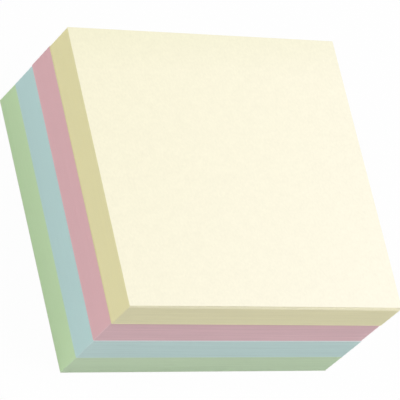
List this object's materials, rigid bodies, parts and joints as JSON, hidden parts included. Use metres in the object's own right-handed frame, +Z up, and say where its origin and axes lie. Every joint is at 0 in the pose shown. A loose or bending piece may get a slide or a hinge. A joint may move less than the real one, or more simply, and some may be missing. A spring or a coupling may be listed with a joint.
{
  "type": "sticky note pad",
  "caption": "Cube of square sticky notes in yellow, pink, blue and green pastel paper, glued note on note along the back edge, with the free corner of the top note lifting.",
  "frame": {"origin": "under the middle of the pad, on the plane where the backing sheet rests on the desk", "axes": "+X across the pad to the right, +Y from the free front edge to the glued back edge, +Z up through the notes"},
  "size_m": [0.0768, 0.0776, 0.0389],
  "materials": {
    "yellow_paper": "matte",
    "pink_paper": "matte",
    "blue_paper": "matte",
    "green_paper": "matte",
    "backing_paper": "satin",
    "adhesive": "satin"
  },
  "bodies": {
    "root": {"top_sheet": "yellow_paper", "yellow_sheets": "yellow_paper", "pink_sheets": "pink_paper", "blue_sheets": "blue_paper", "green_sheets": "green_paper", "backing_sheet": "backing_paper", "top_adhesive": "adhesive", "yellow_adhesive": "adhesive", "pink_adhesive": "adhesive", "blue_adhesive": "adhesive", "green_adhesive": "adhesive"}
  },
  "joints": []
}
